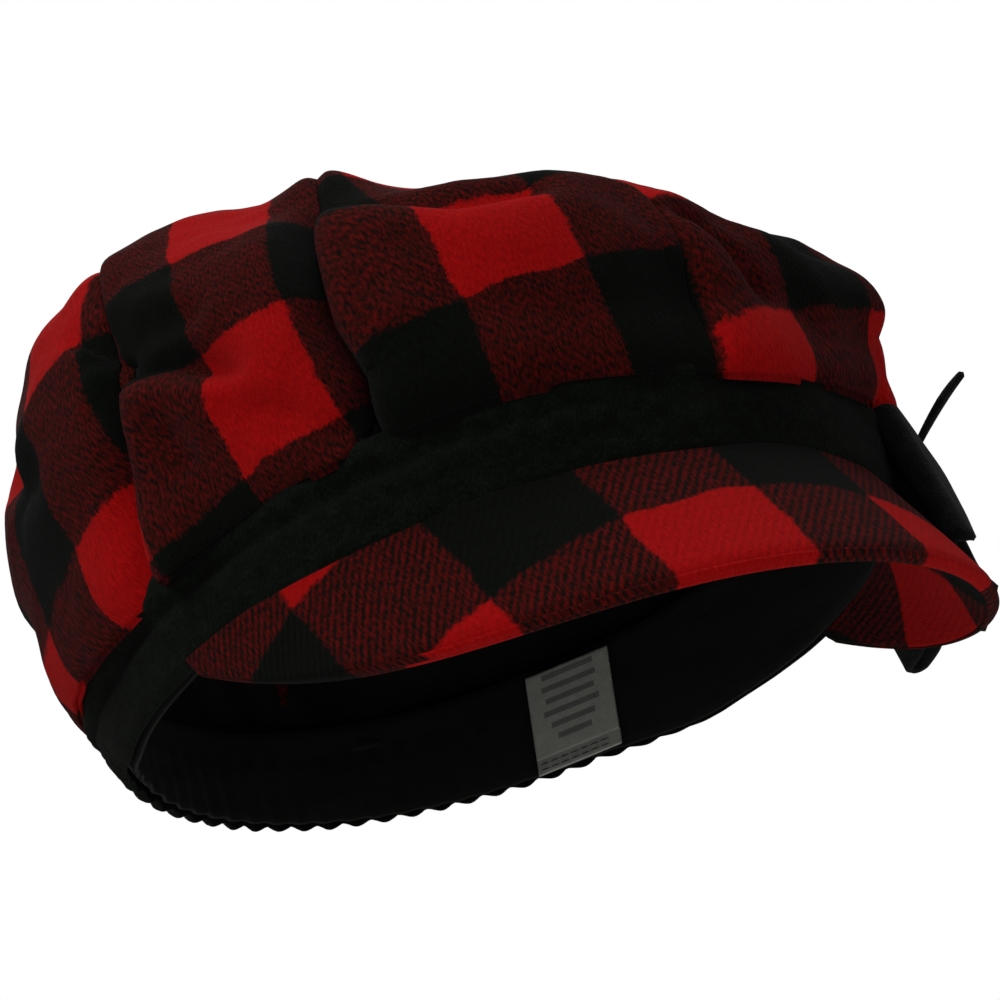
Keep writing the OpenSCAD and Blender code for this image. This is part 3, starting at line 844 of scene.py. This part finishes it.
BOW_ANGLE, BOW_HEIGHT = 66.0, 10.0
LOOP_WIDTH, LOOP_LENGTH, LOOP_FOLD, LOOP_STAND, LOOP_TILT = 36.0, 36.0, 2.3, 5.1, 10.0
STRIP_THICK, KNOT_HALF, KNOT_BASE, KNOT_DEPTH, KNOT_TALL = 1.8, 7.0, 2.4, 10.0, 17.0
TAIL_LENGTH, TAIL_TOP, TIP_LENGTH = 31.0, 3.0, 26.0
LOOP_LEAF, LOOP_NECK = 0.42, 0.36
BOW_MM_PER_DEGREE = (OPENING_HALF_LENGTH + BAND_OUTER) * math.pi / 180


def felt_loop(name, way, length, drop, hug):
    """A folded felt loop along the band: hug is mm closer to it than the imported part's, drop mm down."""
    u = np.linspace(0, 1, 97)[None, :]
    v = np.linspace(0, 1, 19)[:, None]
    turn = np.radians(180 * np.clip((u - LOOP_LEAF) / (1 - 2 * LOOP_LEAF), 0, 1))
    run = length * np.minimum(1, np.minimum(u, 1 - u) / LOOP_LEAF)
    opened = np.sin(np.pi / 2 * np.minimum(1, 1.2 * run / length))
    spread = LOOP_WIDTH * (LOOP_NECK + (1 - LOOP_NECK) * opened)
    tilt = np.radians(LOOP_TILT * np.minimum(1, run / (0.5 * length)))
    puff = np.where(u > 0.5, 1.5, -2.2) * np.sin(np.pi * run / length) * np.cos(np.pi * (v - 0.5))
    pleat = 0.9 * np.sin(5 * np.pi * v + 0.6 * way) * np.exp(-run / 9.0)
    edge = 0.8 * np.sin(run / 6.0 + 2 * way) * (2 * v - 1) ** 2 * np.minimum(1, run / 12)
    shape = puff + pleat - hug * np.minimum(1, run / length)
    faces = []
    for off in (STRIP_THICK / 2, -STRIP_THICK / 2):
        s = run + (LOOP_FOLD - off) * np.sin(turn)
        lift = LOOP_FOLD * (1 - np.cos(turn)) + off * np.cos(turn) + shape
        h = (v - 0.5) * spread + edge
        grow = band_face(BOW_HEIGHT) + LOOP_STAND + lift + (LOOP_WIDTH / 4 - h) * np.tan(tilt)
        t = BOW_ANGLE + way * (KNOT_HALF - 1.0 + s) / BOW_MM_PER_DEGREE
        faces.append(oval(t, grow, BOW_HEIGHT + h - drop * run / length))
    cut = spots(u * 2 * length, (v - 0.5) * LOOP_WIDTH)
    return shell(name, faces[0], faces[1], FELT_EDGE, cut)


def beside(local, t, grow, z, way=1):
    """Local (outward, sideways, up) points beside the cap at angle t; way -1 faces inwards."""
    a = math.radians(t)
    out = way * unit(np.array([math.sin(a) / OPENING_HALF_WIDTH, -math.cos(a) / OPENING_HALF_LENGTH]))
    local = np.asarray(local, float)
    flat = local[..., :1] * out + local[..., 1:2] * np.array([-out[1], out[0]])
    return oval(t, grow, z) + np.concatenate([flat, local[..., 2:3]], axis=-1)


def at_band(local):
    """Local (outward, towards the back, up) points beside the band, where the bow sits."""
    return beside(local, BOW_ANGLE, band_face(BOW_HEIGHT), BOW_HEIGHT)


loop_front = felt_loop("bow_felt_loop_front", -1, LOOP_LENGTH, 7.0, 2.4)
stand_in(loop_front, "bow_loop_front")
loop_back = felt_loop("bow_felt_loop_back", 1, LOOP_LENGTH - 10, 5.0, -3.0)
stand_in(loop_back, "bow_loop_back")

# the knot: a folded pad with creases that run over it
KNOT_HOLLOW = 0.55
around, over = np.meshgrid(
    np.linspace(0, 2 * np.pi, 73)[:-1], np.linspace(-0.5, 0.5, 31) * np.pi)


def power(x, p):
    """x to the power p, keeping its sign, for a rounded box."""
    return np.sign(x) * np.abs(x) ** p


knot_y = KNOT_HALF * power(np.cos(over), 0.7) * power(np.cos(around), 0.75)
knot_x = power(np.cos(over), 0.7) * power(np.sin(around), 0.75)
knot_z = KNOT_TALL / 2 * power(np.sin(over), 0.7)
creases = 0.35 * np.sin(knot_y * 2.1 + 0.5 * np.sin(knot_z * 0.4)) * (knot_x > 0)
knot_x = KNOT_BASE + KNOT_DEPTH / 2 + (KNOT_DEPTH / 2 + creases) * knot_x
knot_grid = at_band(spots(knot_x, knot_y, knot_z))
knot_core = at_band([KNOT_BASE + KNOT_DEPTH / 2, 0, 0])
knot_cut = spots(knot_y, knot_z)
knot_inside = knot_core + (knot_grid - knot_core) * KNOT_HOLLOW
knot = shell("bow_felt_knot", knot_grid, knot_inside, FELT_EDGE, knot_cut, wrap=True)
stand_in(knot, "bow_knot")

# the hanging tail, slanted at its end, and the upright pointed one
down = np.linspace(0, 1, 46)
TAIL_NARROW, TAIL_BROAD, TAIL_SLANT, TAIL_SWING = 9.0, 17.0, 3.0, 6.0
tail_x = KNOT_BASE + KNOT_DEPTH + 0.9 + 0.9 * np.sin(down * 5.0) - 2.6 * np.exp(-down * 9)
tail_x = tail_x + TAIL_SWING * down ** 2
tail_z = TAIL_TOP - TAIL_LENGTH * down
tail_path = at_band(spots(tail_x, 0.6 * np.sin(down * 4), tail_z))
bow_middle = at_band([0, 0, 0])
tail_across = np.repeat((at_band([0, 1, 0]) - bow_middle)[None], len(down), axis=0)
tail_wide = TAIL_NARROW + (TAIL_BROAD - TAIL_NARROW) * down
tail_lower = strip(
    "bow_felt_tail_lower", tail_path, tail_across, tail_wide, STRIP_THICK, FELT_EDGE, 15, 0.5)
for vertex in tail_lower.data.vertices:
    side = Vector(tail_across[0]).dot(vertex.co * 1000 - Vector(bow_middle))
    low = smooth((BOW_HEIGHT + TAIL_TOP - vertex.co.z * 1000) / TAIL_LENGTH, 0.6, 1.0)
    vertex.co.z += 0.001 * TAIL_SLANT * float(low) * (0.5 - side / TAIL_BROAD)
stand_in(tail_lower, "bow_tail_lower", "lower_tail")

tip = np.linspace(0, 1, 34)
TIP_BROADEST, TIP_NARROW, TIP_BROAD, TIP_BLUNT = 0.6, 8.0, 12.0, 0.6
TIP_OUT, TIP_FORWARD, TIP_UP = TIP_LENGTH * 0.74, TIP_LENGTH * 0.56, TIP_LENGTH * 0.70
tip_z = KNOT_TALL / 2 - 0.8 + (TIP_UP + 0.8) * tip * (1.4 - 0.4 * tip)
tip_path = at_band(spots(KNOT_BASE + KNOT_DEPTH / 2 + TIP_OUT * tip, -TIP_FORWARD * tip, tip_z))
widening = TIP_NARROW + (TIP_BROAD - TIP_NARROW) * tip / TIP_BROADEST
pointed = TIP_BROAD * (1 - tip) / (1 - TIP_BROADEST)
tip_wide = np.where(tip < TIP_BROADEST, widening, pointed) + TIP_BLUNT
tip_across = np.repeat(tail_across[:1], len(tip), axis=0)
tail_upper = strip("bow_felt_tail_upper", tip_path, tip_across, tip_wide, STRIP_THICK, FELT_EDGE, 13)
stand_in(tail_upper, "bow_tail_upper", "upper_tail")
repaint("bow_tack", THREAD)

# ---------- the label

LABEL_ANGLE, LABEL_WIDTH, LABEL_FLAP, LABEL_RISE, TAB_HEIGHT = 134.5, 22.0, 20.5, 3.5, 3.4
LABEL_OUT, LABEL_LAYER, LABEL_LEAN = 0.9, 0.32, 4.5


def at_label(local):
    """Local (inward, sideways, up) points on the sweatband's face."""
    return beside(local, LABEL_ANGLE, 0.0, 0.0, -1)


def label_side(up):
    """Sideways shift of the label at height up above its sewn end: it leans as it hangs."""
    return LABEL_LEAN * np.clip(up / (LABEL_FLAP + TAB_HEIGHT), 0, 1)


# the flap: up one leaf, over the fold and down the other
FLAP_STEPS, LEAF_SHARE = 60, 0.47
label_across = at_label([0, 1, 0]) - at_label([0, 0, 0])
go = np.linspace(0, 1, FLAP_STEPS)
fold_turn = np.radians(180 * np.clip((go - LEAF_SHARE) / (1 - 2 * LEAF_SHARE), 0, 1))
rise = LABEL_FLAP * np.minimum(1, np.minimum(go, 1 - go) / LEAF_SHARE) + 0.35 * np.sin(fold_turn)
sag = 0.5 * np.sin(np.pi * rise / LABEL_FLAP) + 1.1 * (rise / LABEL_FLAP) ** 2
flap_x = LABEL_OUT + 0.2 + sag + 0.3 * (1 - np.cos(fold_turn))
flap_z = LABEL_RISE + TAB_HEIGHT + 0.2 + rise
flap_path = at_label(spots(flap_x, label_side(rise + TAB_HEIGHT), flap_z))
across = np.repeat(label_across[None], FLAP_STEPS, axis=0)
widths = np.full(FLAP_STEPS, LABEL_WIDTH)
flap = strip("woven_label_flap", flap_path, across, widths, LABEL_LAYER, LABEL, 23)
stand_in(flap, "care_label", "label_flap")

# the tab: its sewn end, two layers thick
TAB_STEPS, TAB_THICK = 10, 0.7
tab_rise = np.linspace(0, TAB_HEIGHT + 0.4, TAB_STEPS)
tab_path = at_label(spots(LABEL_OUT + TAB_THICK / 2, label_side(tab_rise), LABEL_RISE + tab_rise))
across = np.repeat(label_across[None], TAB_STEPS, axis=0)
widths = np.full(TAB_STEPS, LABEL_WIDTH)
tab = strip("woven_label_tab", tab_path, across, widths, TAB_THICK, LABEL_PLAIN, 23)
stand_in(tab, "label_tab")


def stitch_row(name, points, out, length, thickness, material, skip):
    """A row of stitches along a line: each a small rounded bar that dips at its ends."""
    along_line = length_along(points)
    rings, sides = 5, 6
    around = np.linspace(0, 2 * np.pi, sides + 1)[:-1]
    arc = np.sin(np.linspace(0, np.pi, rings))
    radius = thickness / 2 * (0.45 + 0.55 * arc)
    grids, faces = [], []
    for start in np.arange(0, along_line[-1] - length, length * (1 + skip)):
        at = np.linspace(start, start + length, rings)
        line = spots(*(np.interp(at, along_line, points[:, k]) for k in range(3)))
        side = np.cross(unit(line[-1] - line[0]), out)
        centre = line + out * (thickness * (0.8 * arc - 0.35))[:, None]
        spoke = np.cos(around)[:, None] * side + np.sin(around)[:, None] * out
        first = len(grids) * rings * sides
        grids.append((centre[:, None] + radius[:, None, None] * spoke[None]).reshape(-1, 3))
        for row in range(rings - 1):
            for k in range(sides):
                a, b = first + row * sides + k, first + row * sides + (k + 1) % sides
                faces.append((a, b, b + sides, a + sides))
        last = first + (rings - 1) * sides
        faces.append(tuple(first + k for k in reversed(range(sides))))
        faces.append(tuple(last + k for k in range(sides)))
    points = np.concatenate(grids)
    return make(name, points, faces, material, points)


STITCH_LENGTH, STITCH_THICK, STITCH_SKIP, STITCH_ROWS = 2.4, 0.34, 0.12, (0.9, 2.3)
label_inward = at_label([1, 0, 0]) - at_label([0, 0, 0])
across_label = np.linspace(-LABEL_WIDTH / 2 + 0.6, LABEL_WIDTH / 2 - 0.6, 30)
for k, up_row in enumerate(STITCH_ROWS):
    line = at_label(spots(
        LABEL_OUT + TAB_THICK + 0.05, across_label + label_side(up_row), LABEL_RISE + up_row))
    row = stitch_row(f"label_stitch_row_{k + 1}", line, label_inward,
                     STITCH_LENGTH, STITCH_THICK, DARK_THREAD, STITCH_SKIP)
    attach(row, "cap")
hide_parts("label_stitches")

# ---------- the covered button at the peak

BUTTON_RADIUS, BUTTON_DOME = 10.0, 4.0
ring_a, ring_r = np.meshgrid(np.linspace(0, 2 * np.pi, 97)[:-1], np.linspace(0.02, 1, 22))
dome_z = BUTTON_DOME * np.sqrt(np.clip(1 - ring_r ** 2.4, 0, 1))
dome_r = BUTTON_RADIUS * ring_r ** 0.9 * (1 + 0.012 * np.sin(14 * ring_a) * ring_r ** 3)
lean_axis = Vector((math.cos(LEAN_ANGLE), math.sin(LEAN_ANGLE), 0))
lean_turn = np.array(Matrix.Rotation(math.atan(CROWN_LEAN), 3, lean_axis))


def on_peak(local):
    """Points in the button's own frame, leant with the crown and set on its peak."""
    return np.asarray(local) @ lean_turn.T + np.array([0, 0, CROWN_HEIGHT + 0.3])


BUTTON_INSIDE, BUTTON_LAID = 0.93, (6.0, 9.0, 20.0, 1.0, 1.0)
button_x, button_y = dome_r * np.cos(ring_a), dome_r * np.sin(ring_a)
button_top = on_peak(spots(button_x, button_y, dome_z + 0.2))
button_low = on_peak(spots(button_x * BUTTON_INSIDE, button_y * BUTTON_INSIDE, dome_z * 0.5 - 0.9))
button_cut = cloth(button_x, button_y, BUTTON_LAID)
button = shell("plaid_covered_button", button_top, button_low, PLAID, button_cut, wrap=True)
stand_in(button, "top_button")

# ---------- camera, light

AZIMUTH, ELEVATION, ROLL = math.radians(-37.2), math.radians(-22.2), math.radians(-18.6)
DISTANCE, TARGET = 1.150, Vector((0, 0, 0.040))
FRAME_RIGHT, FRAME_UP = 0.0094, 0.0025
LENS = 178.0


def heading(azimuth, elevation):
    """The direction out from the cap at these angles in radians."""
    flat = math.cos(elevation)
    return Vector((math.sin(azimuth) * flat, -math.cos(azimuth) * flat, math.sin(elevation)))


back = heading(AZIMUTH, ELEVATION)
level = (-back).cross(Vector((0, 0, 1))).normalized()
upward = level.cross(-back)
right = math.cos(ROLL) * level + math.sin(ROLL) * upward
up = -math.sin(ROLL) * level + math.cos(ROLL) * upward
aim = TARGET + FRAME_RIGHT * right + FRAME_UP * up
lens = bpy.data.cameras.new("camera")
lens.lens, lens.sensor_width = LENS, 36.0
lens.clip_start, lens.clip_end = 0.05, 20.0
camera = bpy.data.objects.new("camera", lens)
show(camera)
turn = Matrix((right, up, back)).transposed().to_4x4()
camera.matrix_world = Matrix.Translation(aim + back * DISTANCE) @ turn
bpy.context.scene.camera = camera


def lamp(name, azimuth, elevation, distance, size, power):
    """A square white lamp aimed at the cap: angles in degrees, metres and watts."""
    place = TARGET + distance * heading(math.radians(azimuth), math.radians(elevation))
    light = bpy.data.lights.new(name, "AREA")
    light.shape, light.size, light.energy = "SQUARE", size, power
    thing = bpy.data.objects.new(name, light)
    thing.location = place
    thing.rotation_euler = (TARGET - place).to_track_quat("-Z", "Y").to_euler()
    show(thing)


lamp("key", -75, 38, 1.5, 0.9, 8)
lamp("front", -20, 8, 1.9, 1.2, 3.2)
lamp("top", 20, 75, 1.5, 1.0, 8)
lamp("rear", 150, 40, 1.7, 1.0, 7)

# The room: soft light on the cap, and plain white where the camera sees past it
ROOM_LIGHT = 0.13
world = bpy.data.worlds.new("studio")
bpy.context.scene.world = world
world.use_nodes = True
sky = world.node_tree.nodes["Background"]
sky.inputs["Color"].default_value = (1, 1, 1, 1)
sky.inputs["Strength"].default_value = ROOM_LIGHT
nodes, links = world.node_tree.nodes, world.node_tree.links
seen = nodes.new("ShaderNodeBackground")
seen.inputs["Color"].default_value = (1, 1, 1, 1)
path = nodes.new("ShaderNodeLightPath")
pick = nodes.new("ShaderNodeMixShader")
links.new(path.outputs["Is Camera Ray"], pick.inputs[0])
links.new(sky.outputs[0], pick.inputs[1])
links.new(seen.outputs[0], pick.inputs[2])
links.new(pick.outputs[0], nodes["World Output"].inputs["Surface"])

FLOOR_DROP, FLOOR_REACH = 0.55, 6.0
floor_mesh = bpy.data.meshes.new("floor")
corners = [(x * FLOOR_REACH, y * FLOOR_REACH, -FLOOR_DROP) for x, y in ((-1, -1), (1, -1), (1, 1), (-1, 1))]
floor_mesh.from_pydata(corners, [], [(0, 1, 2, 3)])
floor = bpy.data.objects.new("floor", floor_mesh)
pale = bpy.data.materials.new("pale_floor")
pale.use_nodes = True
paint = pale.node_tree.nodes["Principled BSDF"]
paint.inputs["Base Color"].default_value = (0.86, 0.86, 0.85, 1)
paint.inputs["Roughness"].default_value = 0.8
floor_mesh.materials.append(pale)
show(floor)
bpy.context.scene.view_settings.view_transform = "Standard"
bpy.context.scene.view_settings.look = "None"
